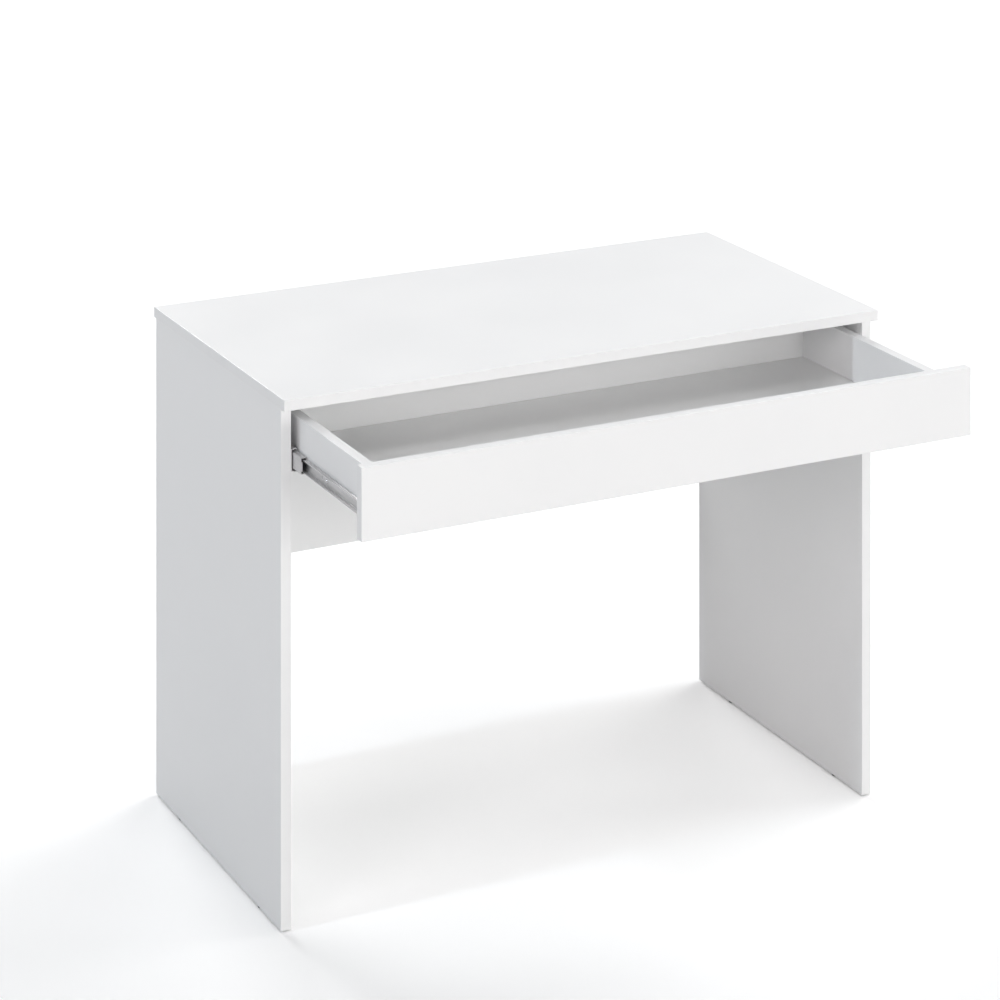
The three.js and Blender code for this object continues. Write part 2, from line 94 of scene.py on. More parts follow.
class Shader:
    """A material under construction: nodes are added with short calls and linked by name."""

    def __init__(self, name):
        self.material = bpy.data.materials.new(name)
        self.material.use_nodes = True
        self.nodes = self.material.node_tree.nodes
        self.links = self.material.node_tree.links
        self.surface = self.nodes["Principled BSDF"]
        self.place = self.nodes.new("ShaderNodeTexCoord").outputs["Object"]

    def node(self, kind, **settings):
        made = self.nodes.new("ShaderNode" + kind)
        for key, value in settings.items():
            setattr(made, key, value)
        return made

    def link(self, source, target):
        self.links.new(source, target)

    def stretched(self, scale):
        """Coordinates scaled differently along X, Y and Z."""
        mapping = self.node("Mapping")
        mapping.inputs["Scale"].default_value = scale
        self.link(self.place, mapping.inputs["Vector"])
        return mapping.outputs["Vector"]

    def noise(self, scale, detail=2.0, roughness=0.5, vector=None):
        made = self.node("TexNoise")
        made.inputs["Scale"].default_value = scale
        made.inputs["Detail"].default_value = detail
        made.inputs["Roughness"].default_value = roughness
        self.link(vector or self.place, made.inputs["Vector"])
        return made.outputs["Fac"]

    def cells(self, scale, vector=None, feature="F1"):
        made = self.node("TexVoronoi", feature=feature)
        made.inputs["Scale"].default_value = scale
        self.link(vector or self.place, made.inputs["Vector"])
        return made

    def between(self, value, low, high, start=0.3, end=0.7):
        """A number that runs from low to high as value goes from start to end."""
        made = self.node("MapRange")
        for key, number in (("From Min", start), ("From Max", end), ("To Min", low), ("To Max", high)):
            made.inputs[key].default_value = number
        self.link(value, made.inputs["Value"])
        return made.outputs["Result"]

    def blend(self, factor, first, second):
        made = self.node("Mix", data_type="RGBA")
        self.link(factor, made.inputs["Factor"])
        for socket, colour in (("A", first), ("B", second)):
            target = next(s for s in made.inputs if s.name == socket and s.type == "RGBA")
            if isinstance(colour, tuple):
                target.default_value = (*colour, 1)
            else:
                self.link(colour, target)
        return next(s for s in made.outputs if s.type == "RGBA")

    def add(self, first, second, share=1.0):
        made = self.node("Math", operation="MULTIPLY_ADD")
        self.link(second, made.inputs[0])
        made.inputs[1].default_value = share
        self.link(first, made.inputs[2])
        return made.outputs[0]

    def bump(self, height, distance, strength=1.0):
        made = self.node("Bump")
        made.inputs["Distance"].default_value = distance
        made.inputs["Strength"].default_value = strength
        self.link(height, made.inputs["Height"])
        self.link(made.outputs["Normal"], self.surface.inputs["Normal"])

    def feed(self, **inputs):
        """Constants and links for the surface's sockets, with _ for a space in a socket's name."""
        for key, value in inputs.items():
            socket = self.surface.inputs[key.replace("_", " ")]
            if isinstance(value, bpy.types.NodeSocket):
                self.link(value, socket)
            else:
                socket.default_value = value
        return self.material


def melamine():
    """Smooth satin white decor: a faint pearl texture and cloudy changes of gloss."""
    s = Shader("white_melamine")
    clouds = s.noise(7.0, detail=3.0)
    pearl = s.noise(1300.0)
    s.bump(pearl, 0.02 * MM, 0.35)
    colour = s.blend(s.between(clouds, 0, 1), (0.855, 0.857, 0.861), (0.867, 0.868, 0.870))
    gloss = s.add(s.between(clouds, 0.37, 0.43), s.between(pearl, -0.03, 0.03))
    return s.feed(Base_Color=colour, Roughness=gloss, Specular_IOR_Level=0.3)


def edge_band():
    """The plastic band on the boards' edges: a little glossier, with fine scraper marks."""
    s = Shader("white_edge_band")
    ripple = s.noise(900.0, detail=1.0, vector=s.stretched((0.06, 0.06, 1.0)))
    clouds = s.noise(30.0)
    s.bump(ripple, 0.02 * MM, 0.25)
    colour = s.blend(s.between(clouds, 0, 1), (0.828, 0.830, 0.834), (0.842, 0.843, 0.846))
    return s.feed(Base_Color=colour, Roughness=s.between(ripple, 0.30, 0.38), Specular_IOR_Level=0.35)


def particle_board():
    """Raw board inside the bores: pressed chips of several browns."""
    s = Shader("particle_board")
    chips = s.cells(420.0, s.stretched((1.0, 1.6, 2.6)))
    grain = s.noise(1600.0, detail=3.0)
    tone = s.between(chips.outputs["Color"], 0, 1, 0.1, 0.9)
    colour = s.blend(tone, (0.42, 0.27, 0.14), (0.66, 0.48, 0.29))
    s.bump(s.add(chips.outputs["Distance"], grain, 0.4), 0.3 * MM, 0.7)
    return s.feed(Base_Color=colour, Roughness=0.85, Specular_IOR_Level=0.2)


def hardboard():
    """White lacquer on a thin fibre sheet: fine fibres show through as a soft relief."""
    s = Shader("white_hardboard")
    fibres = s.noise(380.0, 4.0, 0.6, s.stretched((0.45, 1.0, 1.0)))
    clouds = s.noise(5.0)
    s.bump(fibres, 0.05 * MM, 0.4)
    colour = s.blend(s.between(clouds, 0, 1), (0.85, 0.852, 0.848), (0.87, 0.87, 0.866))
    return s.feed(Base_Color=colour, Roughness=s.between(fibres, 0.42, 0.54), Specular_IOR_Level=0.3)


def hardboard_core():
    """The sheet's cut edge: brown compressed fibre."""
    s = Shader("hardboard_core")
    fibres = s.noise(900.0, 4.0, 0.65, s.stretched((0.4, 0.4, 2.5)))
    colour = s.blend(s.between(fibres, 0, 1), (0.17, 0.095, 0.045), (0.30, 0.18, 0.095))
    s.bump(fibres, 0.1 * MM, 0.6)
    return s.feed(Base_Color=colour, Roughness=0.8, Specular_IOR_Level=0.25)


def zinc_steel():
    """Rolled, bright zinc-plated sheet: rolling streaks along Y and a faint spangle."""
    s = Shader("zinc_steel")
    streaks = s.noise(700.0, 3.0, 0.6, s.stretched((1.0, 0.02, 1.0)))
    spangle = s.cells(260.0, feature="SMOOTH_F1")
    tone = s.add(streaks, s.between(spangle.outputs["Distance"], -0.1, 0.1, 0, 1))
    colour = s.blend(s.between(tone, 0, 1), (0.62, 0.615, 0.62), (0.73, 0.725, 0.73))
    s.bump(streaks, 0.02 * MM, 0.1)
    return s.feed(Base_Color=colour, Metallic=1.0, Roughness=s.between(tone, 0.46, 0.58))


def plated_screw():
    """Turned steel with a bright, slightly blue zinc plating."""
    s = Shader("plated_screw")
    rings = s.noise(1500.0)
    colour = s.blend(s.between(rings, 0, 1), (0.66, 0.67, 0.69), (0.80, 0.80, 0.81))
    s.bump(rings, 0.015 * MM, 0.3)
    return s.feed(Base_Color=colour, Metallic=1.0, Roughness=s.between(rings, 0.20, 0.32))


def ball_steel():
    """Polished bearing balls with a thin film of grease."""
    s = Shader("ball_steel")
    film = s.noise(600.0)
    colour = s.blend(s.between(film, 0, 1), (0.70, 0.70, 0.69), (0.82, 0.82, 0.82))
    return s.feed(Base_Color=colour, Metallic=1.0, Roughness=s.between(film, 0.08, 0.22))


def cast_zinc():
    """Die-cast zinc: dull grey with a fine orange-peel skin."""
    s = Shader("cast_zinc")
    skin = s.noise(1100.0, detail=3.0)
    blotches = s.noise(160.0)
    colour = s.blend(s.between(blotches, 0, 1), (0.44, 0.45, 0.46), (0.58, 0.58, 0.59))
    s.bump(skin, 0.04 * MM, 0.5)
    return s.feed(Base_Color=colour, Metallic=0.9, Roughness=s.between(blotches, 0.42, 0.56))


def black_plastic():
    """Matt moulded plastic with a fine spark-eroded grain."""
    s = Shader("black_plastic")
    grain = s.cells(1500.0)
    clouds = s.noise(120.0)
    colour = s.blend(s.between(clouds, 0, 1), (0.016, 0.016, 0.017), (0.028, 0.028, 0.029))
    s.bump(grain.outputs["Distance"], 0.03 * MM, 0.5)
    return s.feed(Base_Color=colour, Roughness=s.between(clouds, 0.42, 0.55), Specular_IOR_Level=0.45)


def beech():
    """Raw beech: pale pinkish wood with short dark rays along Z."""
    s = Shader("beech")
    grain = s.noise(300.0, 4.0, 0.6, s.stretched((1.0, 1.0, 0.06)))
    rays = s.cells(500.0, s.stretched((1.0, 1.0, 0.2)))
    wood = s.blend(s.between(grain, 0, 1), (0.58, 0.40, 0.24), (0.72, 0.55, 0.36))
    colour = s.blend(s.between(rays.outputs["Distance"], 0.35, 0, 0.05, 0.3), wood, (0.38, 0.22, 0.11))
    s.bump(grain, 0.06 * MM, 0.5)
    return s.feed(Base_Color=colour, Roughness=0.65, Specular_IOR_Level=0.3)


FLOOR_BOUNCE = 0.715  # the share of light that the floor throws back at the desk
FLOOR_GLOW = 0.1  # what it adds to its look for the camera


def studio_floor():
    """A seamless white floor that glows faintly to the camera and throws back plain light."""
    s = Shader("studio_floor")
    clouds = s.noise(0.7, detail=1.0)
    shown = s.blend(s.between(clouds, 0, 1), (0.99, 0.99, 0.99), (1.0, 1.0, 1.0))
    seen = s.node("LightPath").outputs["Is Camera Ray"]
    colour = s.blend(seen, (FLOOR_BOUNCE,) * 3, shown)
    glow = s.between(seen, 0, FLOOR_GLOW, 0, 1)
    s.feed(Base_Color=colour, Roughness=0.9, Specular_IOR_Level=0.1)
    return s.feed(Emission_Color=(1, 1, 1, 1), Emission_Strength=glow)


MELAMINE = melamine()
BAND = edge_band()
RAW_BOARD = particle_board()
HARDBOARD = hardboard()
HARDBOARD_CORE = hardboard_core()
SHEET_STEEL = zinc_steel()
SCREW_STEEL = plated_screw()
BALL_STEEL = ball_steel()
CAST_ZINC = cast_zinc()
PLASTIC = black_plastic()
BEECH = beech()

BODY_OF = {n: body for body, nodes in frame["record"]["behaviour"]["bodies"].items() for n in nodes}

# ---- Making and cutting meshes --------------------------------------------------------------------

SMOOTH_ANGLE = math.radians(38)
CUTTER_SIDES = 40
SCREW_SIDES = 28
NAIL_SIDES = 20
CAM_SIDES = 48
FOOT_SIDES = 56
CROSS_SLOPE = 1.5  # where the slope in a cross recess's corners starts, in half widths


def new_object(name, bm, materials):
    bmesh.ops.recalc_face_normals(bm, faces=bm.faces)
    mesh = bpy.data.meshes.new(name)
    bm.to_mesh(mesh)
    bm.free()
    for material in materials:
        mesh.materials.append(material)
    made = bpy.data.objects.new(name, mesh)
    bpy.context.scene.collection.objects.link(made)
    return made


def carve(target, cutters, material=None):
    """Cuts each cutter out of the target, and takes the cutters away. Cut faces get material."""
    for cutter in cutters:
        if material:
            cutter.data.materials.append(material)
        cutting = target.modifiers.new("cut", "BOOLEAN")
        cutting.operation = "DIFFERENCE"
        cutting.solver = "EXACT"
        cutting.material_mode = "TRANSFER" if material else "INDEX"
        cutting.object = cutter
    graph = bpy.context.evaluated_depsgraph_get()
    carved = bpy.data.meshes.new_from_object(target.evaluated_get(graph))
    target.modifiers.clear()
    target.data = carved
    for cutter in cutters:
        bpy.data.objects.remove(cutter)


def stand_for(piece, node, weighted=False):
    """Smooths a finished piece and puts it in the place of its CAD node."""
    mesh = piece.data
    mesh.polygons.foreach_set("use_smooth", [True] * len(mesh.polygons))
    mesh.set_sharp_from_angle(angle=SMOOTH_ANGLE)
    if weighted:
        even = piece.modifiers.new("flat_faces", "WEIGHTED_NORMAL")
        even.keep_sharp = True
        even.weight = 100
    piece.name = node + "_look"
    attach(piece, BODY_OF[node])
    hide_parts(node)


def middle(node):
    low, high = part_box(node)
    return (low + high) / 2


def length_of(node, axis):
    """A node's length along an axis, in millimetres."""
    low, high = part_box(node)
    return (high[axis] - low[axis]) / MM


def end_of(node, axis, sign):
    """The middle of a node's end face, on its low or high side along an axis."""
    place = middle(node)
    place[axis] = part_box(node)[0 if sign < 0 else 1][axis]
    return place


def unit(axis, sign=1):
    return Vector([sign if i == axis else 0 for i in range(3)])


def join_into(bm, other):
    """Adds the other bmesh's faces to bm, and frees it."""
    held = bpy.data.meshes.new("joining")
    bmesh.ops.recalc_face_normals(other, faces=other.faces)
    other.to_mesh(held)
    other.free()
    bm.from_mesh(held)
    bpy.data.meshes.remove(held)


def paint(bm, slot):
    """Gives every face the material in a slot of the piece's list."""
    for face in bm.faces:
        face.material_index = slot
    return bm


def round_edges(piece, width, segments):
    """Rounds the sharp edges of a piece; width in millimetres."""
    rounding = piece.modifiers.new("edges", "BEVEL")
    rounding.width = width * MM
    rounding.segments = segments
    rounding.limit_method = "ANGLE"


def rings(stations, sides=32, pitch=1.0):
    """A solid about Z from (radius, height, ridge) stations in millimetres, from axis to axis.

    ridge is the height of a screw thread there; its turns are pitch apart."""
    bm = bmesh.new()
    rows = []
    for radius, height, ridge in stations:
        if radius == 0:
            rows.append([bm.verts.new((0, 0, height))])
            continue
        row = []
        for i in range(sides):
            turn = i / sides
            crest = 1 - abs(2 * ((height / pitch - turn) % 1) - 1)
            reach = radius + ridge * crest
            angle = math.tau * turn
            row.append(bm.verts.new((reach * math.cos(angle), reach * math.sin(angle), height)))
        rows.append(row)
    for lower, upper in zip(rows, rows[1:]):
        for i in range(sides):
            j = (i + 1) % sides
            corners = [lower[i % len(lower)], lower[j % len(lower)]]
            corners += [upper[j % len(upper)], upper[i % len(upper)]]
            bm.faces.new(dict.fromkeys(corners))
    return bm


def plain(profile):
    """Stations without a thread."""
    return [(radius, height, 0) for radius, height in profile]


def arc(centre, radius, start, end, steps=6):
    """Points on an arc, angles in degrees."""
    angles = [math.radians(start + (end - start) * i / steps) for i in range(steps + 1)]
    return [(centre[0] + radius * math.cos(a), centre[1] + radius * math.sin(a)) for a in angles]


def thread(core, ridge, start, end, pitch, per_turn=6):
    """Stations of a threaded length, with the ridge growing in over the first and last turn."""
    count = math.ceil((end - start) / pitch * per_turn)
    stations = []
    for i in range(count + 1):
        height = start + (end - start) * i / count
        grown = min(1, (height - start) / pitch, (end - height) / pitch)
        stations.append((core, height, ridge * grown))
    return stations


def lofted(loops):
    """A closed solid through loops of points, with the same number of points in each."""
    bm = bmesh.new()
    rows = [[bm.verts.new(point) for point in loop] for loop in loops]
    bm.faces.new(rows[0])
    bm.faces.new(rows[-1])
    for lower, upper in zip(rows, rows[1:]):
        for i in range(len(lower)):
            j = (i + 1) % len(lower)
            bm.faces.new((lower[i], lower[j], upper[j], upper[i]))
    return bm


def tapered(outline, depth, taper):
    """A solid between an outline at height 0 and the same outline, scaled by taper, at depth."""
    far = [(x * taper, y * taper, depth) for x, y in outline]
    return lofted([[(x, y, 0) for x, y in outline], far])


def cross_outline(reach, half_width):
    """A plus sign with sloped inner corners."""
    slope = half_width * CROSS_SLOPE
    arm = [(reach, half_width), (slope, half_width), (half_width, slope)]
    points = []
    for quarter in range(4):
        turned = Matrix.Rotation(math.pi / 2 * quarter, 2)
        points += [tuple(turned @ Vector(p)) for p in [(reach, -half_width), *arm]]
    return points


def aimed(bm, place, direction):
    """Scales a shape from millimetres and lays its Z axis along direction, from place."""
    turn = Vector((0, 0, 1)).rotation_difference(Vector(direction)).to_matrix().to_4x4()
    bm.transform(Matrix.Translation(place) @ turn @ Matrix.Scale(MM, 4))
    return bm


def rod_cutter(place, direction, radius, length, sides=CUTTER_SIDES):
    """A round cutter in metres from place along direction."""
    stations = plain([(0, 0), (radius / MM, 0), (radius / MM, length / MM), (0, length / MM)])
    return new_object("cutter", aimed(rings(stations, sides), place, direction), [])


SLACK = 0.3 * MM  # how far a cutter runs past the surfaces that it cuts


def bore(node, axis, radius):
    """A round cutter through a fastener's whole length along an axis."""
    place = end_of(node, axis, -1) - unit(axis) * SLACK
    return rod_cutter(place, unit(axis), radius, length_of(node, axis) * MM + 2 * SLACK)


# ---- Boards ---------------------------------------------------------------------------------------

BAND_THICKNESS = 1.0 * MM
EDGE_RADIUS = 0.8 * MM
CORNER_RADIUS = 0.6 * MM
SEAM_HALF = 0.1 * MM
SEAM_DEPTH = 0.06 * MM
SAME_POINT = 0.001 * MM
EDGE_STEPS = 4
CORNERS = ((1, 1), (-1, 1), (-1, -1), (1, -1))


def slab(node, thin, profile, materials, slot_of):
    """A plate whose edge follows profile: (inset, depth below the face) points on its upper half.

    thin is the axis of its thickness; slot_of(i) is the material slot of the band of faces after
    profile point i."""
    low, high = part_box(node)
    plan = [axis for axis in (X, Y, Z) if axis != thin]
    half = (high[thin] - low[thin]) / 2
    centre = (low[thin] + high[thin]) / 2
    upper = [(inset, half - depth) for inset, depth in profile]
    points = upper + [(inset, -height) for inset, height in reversed(upper)]
    bm = bmesh.new()
    loops = []
    for inset, height in points:
        rounding = max(CORNER_RADIUS - inset, 0)
        loop = []
        for corner, signs in enumerate(CORNERS):
            for step in range(EDGE_STEPS + 1):
                angle = math.pi / 2 * (corner + step / EDGE_STEPS)
                place = [0, 0, 0]
                place[thin] = centre + height
                for axis, sign, lean in zip(plan, signs, (math.cos(angle), math.sin(angle))):
                    edge = high[axis] if sign > 0 else low[axis]
                    place[axis] = edge - sign * (inset + rounding) + rounding * lean
                loop.append(bm.verts.new(place))
        loops.append(loop)
    for i, (first, second) in enumerate(zip(loops, loops[1:])):
        for k in range(len(first)):
            j = (k + 1) % len(first)
            face = bm.faces.new((first[k], first[j], second[j], second[k]))
            face.material_index = slot_of(min(i, len(points) - 2 - i))
    bm.faces.new(loops[0])
    bm.faces.new(loops[-1])
    bmesh.ops.remove_doubles(bm, verts=bm.verts, dist=SAME_POINT)
    return new_object(node, bm, materials)


def board(node, thin, bores):
    """A melamine-faced board with plastic bands glued round its edges, bored for its fittings."""
    seam = [
        (BAND_THICKNESS + SEAM_HALF, 0),
        (BAND_THICKNESS, SEAM_DEPTH),
        (BAND_THICKNESS - SEAM_HALF, 0),
    ]
    edge = arc((EDGE_RADIUS, EDGE_RADIUS), EDGE_RADIUS, 90, 180, EDGE_STEPS)
    rounded = [(x, 2 * EDGE_RADIUS - y) for x, y in edge]
    piece = slab(node, thin, seam + rounded, [MELAMINE, BAND], lambda i: 1)
    carve(piece, bores, RAW_BOARD)
    stand_for(piece, node, weighted=True)


BOLT_BORE = 4.0 * MM
BOLT_THREAD_BORE = 2.7 * MM
DOWEL_BORE = 3.95 * MM
CAM_BORE = 7.5 * MM
PILOT_BORE = 1.4 * MM
NAIL_BORE = 1.15 * MM
LONG_SCREW_BORE = 3.4 * MM
LONG_SCREW_SEAT = 4.9
ROWS = ("front", "rear")
BACK_ROWS = ("lower", "upper")


def nail_bore(glide):
    start = end_of(glide, Z, -1)
    return rod_cutter(start, unit(Z), NAIL_BORE, length_of(glide, Z) * MM + SLACK)


def head_seat(node, sign, radius):
    """A conical seat for a countersunk head, at the outward end of a screw along X."""
    outward = unit(X, sign)
    reach = radius + SLACK / MM
    cone = rings(plain([(0, 0), (reach, 0), (0, reach)]), CUTTER_SIDES)
    return new_object("cutter", aimed(cone, end_of(node, X, sign) + outward * SLACK, -outward), [])


def make_boards():
    both = [side for side, sign in SIDES]
    board(
        "top_panel",
        Z,
        [bore(f"{s}_{row}_top_cam_bolt", Z, BOLT_THREAD_BORE) for s in both for row in ROWS]
        + [bore(f"{s}_{row}_dowel", Z, DOWEL_BORE) for s in both for row in ROWS],
    )
    board(
        "back_panel",
        Y,
        [bore(f"{s}_{row}_back_cam", Y, CAM_BORE) for s in both for row in BACK_ROWS]
        + [bore(f"{s}_{row}_back_cam_bolt", X, BOLT_BORE) for s in both for row in BACK_ROWS],
    )
    for side, sign in SIDES:
        board(
            f"{side}_side_panel",
            X,
            [bore(f"{side}_{row}_top_cam", X, CAM_BORE) for row in ROWS]
            + [bore(f"{side}_{row}_top_cam_bolt", Z, BOLT_BORE) for row in ROWS]
            + [bore(f"{side}_{row}_dowel", Z, DOWEL_BORE) for row in ROWS]
            + [bore(f"{side}_{row}_back_cam_bolt", X, BOLT_THREAD_BORE) for row in BACK_ROWS]
            + [bore(f"{side}_{row}_cabinet_screw", X, PILOT_BORE) for row in ROWS]
            + [nail_bore(f"{side}_{row}_foot") for row in ROWS],
        )
        board(
            f"drawer_{side}_side",
            X,
            [
                bore(f"{side}_front_cam", X, CAM_BORE),
                bore(f"{side}_front_cam_bolt", Y, BOLT_BORE),
                bore(f"{side}_drawer_back_screw", X, LONG_SCREW_BORE),
                head_seat(f"{side}_drawer_back_screw", sign, LONG_SCREW_SEAT),
            ]
            + [bore(f"{side}_{row}_drawer_screw", X, PILOT_BORE) for row in ROWS],
        )
    board("drawer_back", Y, [bore(f"{s}_drawer_back_screw", X, LONG_SCREW_BORE) for s in both])
    board(
        "drawer_front",
        Y,
        [bore(f"{s}_front_cam_bolt", Y, BOLT_THREAD_BORE) for s in both] + [bottom_groove()],
    )


def bottom_groove():
    """The groove in the drawer front that takes the front edge of the bottom sheet."""
    low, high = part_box("drawer_bottom")
    slack = Vector((SLACK, SLACK, SLACK))
    near = low - slack
    far = Vector((high.x, end_of("drawer_front", Y, 1).y, high.z)) + slack
    bm = bmesh.new()
    bmesh.ops.create_cube(bm, size=1)
    bm.transform(Matrix.Translation((near + far) / 2) @ Matrix.Diagonal((*(far - near), 1)))
    return new_object("cutter", bm, [])


SHEET_EDGE = 0.25 * MM
NAIL_SPACING = 85 * MM
NAIL_INSET = 8 * MM
NAIL_HEAD = 1.6  # radius, and three heights, in millimetres
NAIL_SUNK = 0.4
NAIL_RIM = 0.12
NAIL_DOME = 0.25


def nail_head(x, y, z):
    """A flat domed head under the sheet, on a collar that is sunk into it."""
    radii = [r for r, _ in arc((0, 0), NAIL_HEAD, 0, 90)[1:-1]] + [0]
    dome = [(r, NAIL_RIM + NAIL_DOME * (1 - (r / NAIL_HEAD) ** 2)) for r in radii]
    stations = plain([(0, -NAIL_SUNK), (NAIL_HEAD, -NAIL_SUNK), (NAIL_HEAD, 0), *dome])
    return aimed(rings(stations, NAIL_SIDES), (x, y, z), unit(Z, -1))


def make_drawer_bottom():
    """The hardboard sheet under the drawer box, nailed up into the sides and the back."""
    node = "drawer_bottom"
    low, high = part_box(node)
    profile = [(SHEET_EDGE, 0), (0, SHEET_EDGE)]
    # Slots: lacquer on the faces and their bevels, raw fibre on the cut edge, steel for the nails.
    piece = slab(node, Z, profile, [HARDBOARD, HARDBOARD_CORE, SCREW_STEEL], lambda i: i)
    rear = end_of("drawer_back", Y, 1).y
    front = end_of("drawer_front", Y, 1).y
    count = round((rear - front) / NAIL_SPACING)
    nails = [
        (sign * (high.x - NAIL_INSET), front + (rear - front) * (i + 0.5) / count)
        for _, sign in SIDES
        for i in range(count)
    ]
    count = round((high.x - low.x) / (2 * NAIL_SPACING))
    nails += [
        (low.x + (high.x - low.x) * (i + 0.5) / count, rear - NAIL_INSET) for i in range(count)
    ]
    bm = bmesh.new()
    bm.from_mesh(piece.data)
    for x, y in nails:
        join_into(bm, paint(nail_head(x, y, low.z), 2))
    bm.to_mesh(piece.data)
    bm.free()
    stand_for(piece, node)


# ---- Fasteners ------------------------------------------------------------------------------------
# Stations and recesses are in millimetres from the end that each function starts at.

BOLT_COLLAR = 11.0  # from the threaded end
BOLT_NECK = 6.3  # from the head's end
BOLT_PITCH = 2.0


def cam_bolt(node, axis, sign):
    """A bolt from its threaded end: coarse thread, stop collar, shank, neck and ball head."""
    length = length_of(node, axis)
    collar = BOLT_COLLAR
    neck = length - BOLT_NECK
    stations = [
        (0, 0, 0),
        (1.3, 0.2, 0),
        (1.9, 1.4, 0),
        *thread(1.9, 0.7, 1.5, collar - 0.6, BOLT_PITCH),
        *plain([(2.0, collar), (3.2, collar + 0.05), (3.25, collar + 0.3), (3.25, collar + 1.3)]),
        *plain([(2.9, collar + 1.6), (2.9, neck - 1.0), (2.6, neck - 0.2), (1.55, neck)]),
        *plain([(1.5, neck + 0.2), (1.5, neck + 2.6), (1.6, neck + 2.8)]),
        *plain([(2.6, neck + 3.3), (3.15, neck + 4.2), (3.2, neck + 4.9)]),
        *plain([(3.0, neck + 5.6), (2.4, length - 0.2), (1.8, length), (0, length)]),
    ]
    bm = rings(stations, SCREW_SIDES, BOLT_PITCH)
    piece = new_object(node, aimed(bm, end_of(node, axis, -sign), unit(axis, sign)), [SCREW_STEEL])
    stand_for(piece, node)


CAM_RADIUS = 7.2
CAM_OPENING = 3.7 * MM
CAM_RECESS_LEAD = 0.1 * MM  # how far the recess's cutter starts outside the face


def cam(node, axis, sign, bolt, bolt_axis):
    """A cast cam: rim, sunken face with a cross recess, and the bolt's opening."""
    depth = length_of(node, axis)
    face = [(0, 0.05), (3.1, 0.05), (3.4, 0.25)]
    rim = [(CAM_RADIUS - 1.3, 0.25), (CAM_RADIUS - 1.1, 0), (CAM_RADIUS - 0.3, 0), (CAM_RADIUS, 0.35)]
    wall = [(CAM_RADIUS, depth - 0.4), (CAM_RADIUS - 0.4, depth), (0, depth)]
    outer = end_of(node, axis, sign)
    inward = unit(axis, -sign)
    body = rings(plain(face + rim + wall), CAM_SIDES)
    piece = new_object(node, aimed(body, outer, inward), [CAST_ZINC])
    recess = tapered(cross_outline(2.6, 0.55), 2.8, 0.55)
    aimed(recess, outer - inward * CAM_RECESS_LEAD, inward)
    carve(piece, [new_object("cutter", recess, []), bore(bolt, bolt_axis, CAM_OPENING)])
    stand_for(piece, node)


SCREW_PITCH = 1.5
LONG_SCREW_PITCH = 3.0
RECESS_TAPER = 0.35


def recessed(node, stations, sign, recess, pitch=SCREW_PITCH, lead=0.0):
    """A screw along X whose head is at its sign end. recess is the reach, half width and depth of
    the tapered cross in its head, whose cutter starts lead outside the head."""
    head = end_of(node, X, sign)
    inward = unit(X, -sign)
    body = rings(stations, SCREW_SIDES, pitch)
    piece = new_object(node, aimed(body, head, inward), [SCREW_STEEL])
    reach, half_width, depth = recess
    cross = tapered(cross_outline(reach, half_width), depth, RECESS_TAPER)
    carve(piece, [new_object("cutter", aimed(cross, head - inward * lead, inward), [])])
    stand_for(piece, node)


def small_shaft(start, length):
    """The thread and tip of a slide's screw."""
    tip = plain([(0.8, length - 1.0), (0.3, length - 0.2), (0, length)])
    return thread(1.15, 0.45, start, length - 1.8, SCREW_PITCH) + tip


def flat_screw(node, sign):
    """A countersunk screw of a cabinet member."""
    head = plain([(0, 0), (3.3, 0), (3.55, 0.12), (3.55, 0.3), (1.5, 2.2)])
    recessed(node, head + small_shaft(2.4, length_of(node, X)), sign, (2.0, 0.34, 1.7))


def pan_screw(node, sign):
    """A pan-head screw of a drawer member."""
    crown = [(3.35 * math.sin(a), 1.25 * (1 - math.cos(a))) for a in (0.25, 0.5, 0.75, 1.0, 1.25)]
    head = plain([(0, 0), *crown, (3.38, 1.5), (3.3, 2.0), (1.5, 2.0)])
    shaft = small_shaft(2.2, length_of(node, X))
    recessed(node, head + shaft, sign, (2.0, 0.34, 1.5), lead=0.05 * MM)


def long_screw(node, sign):
    """The long countersunk screw through a drawer side into the drawer back's end."""
    length = length_of(node, X)
    head = plain([(0, 0), (4.5, 0), (4.78, 0.15), (4.78, 0.4), (2.4, 2.7), (2.4, 9.0)])
    shaft = thread(2.3, 0.85, 9.2, length - 3.5, LONG_SCREW_PITCH)
    tip = plain([(1.6, length - 2.4), (0.5, length - 0.4), (0, length)])
    recessed(node, head + shaft + tip, sign, (2.9, 0.5, 2.6), LONG_SCREW_PITCH)


DOWEL_RADIUS = 3.75
DOWEL_CHAMFER = 1.2
FLUTES = 18
FLUTE_DEPTH = 0.22
STEPS_PER_FLUTE = 4


def dowel(node):
    """A beech dowel with chamfered ends and pressed flutes."""
    length = length_of(node, Z)
    count = FLUTES * STEPS_PER_FLUTE
    rows = []
    for height, share in ((0, 0.7), (DOWEL_CHAMFER, 1), (length - DOWEL_CHAMFER, 1), (length, 0.7)):
        row = []
        for i in range(count):
            reach = share * DOWEL_RADIUS - (0 if i % STEPS_PER_FLUTE else FLUTE_DEPTH)
            angle = math.tau * i / count
            row.append((reach * math.cos(angle), reach * math.sin(angle), height))
        rows.append(row)
    piece = new_object(node, aimed(lofted(rows), end_of(node, Z, -1), unit(Z)), [BEECH])
    stand_for(piece, node)


FOOT_THICKNESS = 2.5


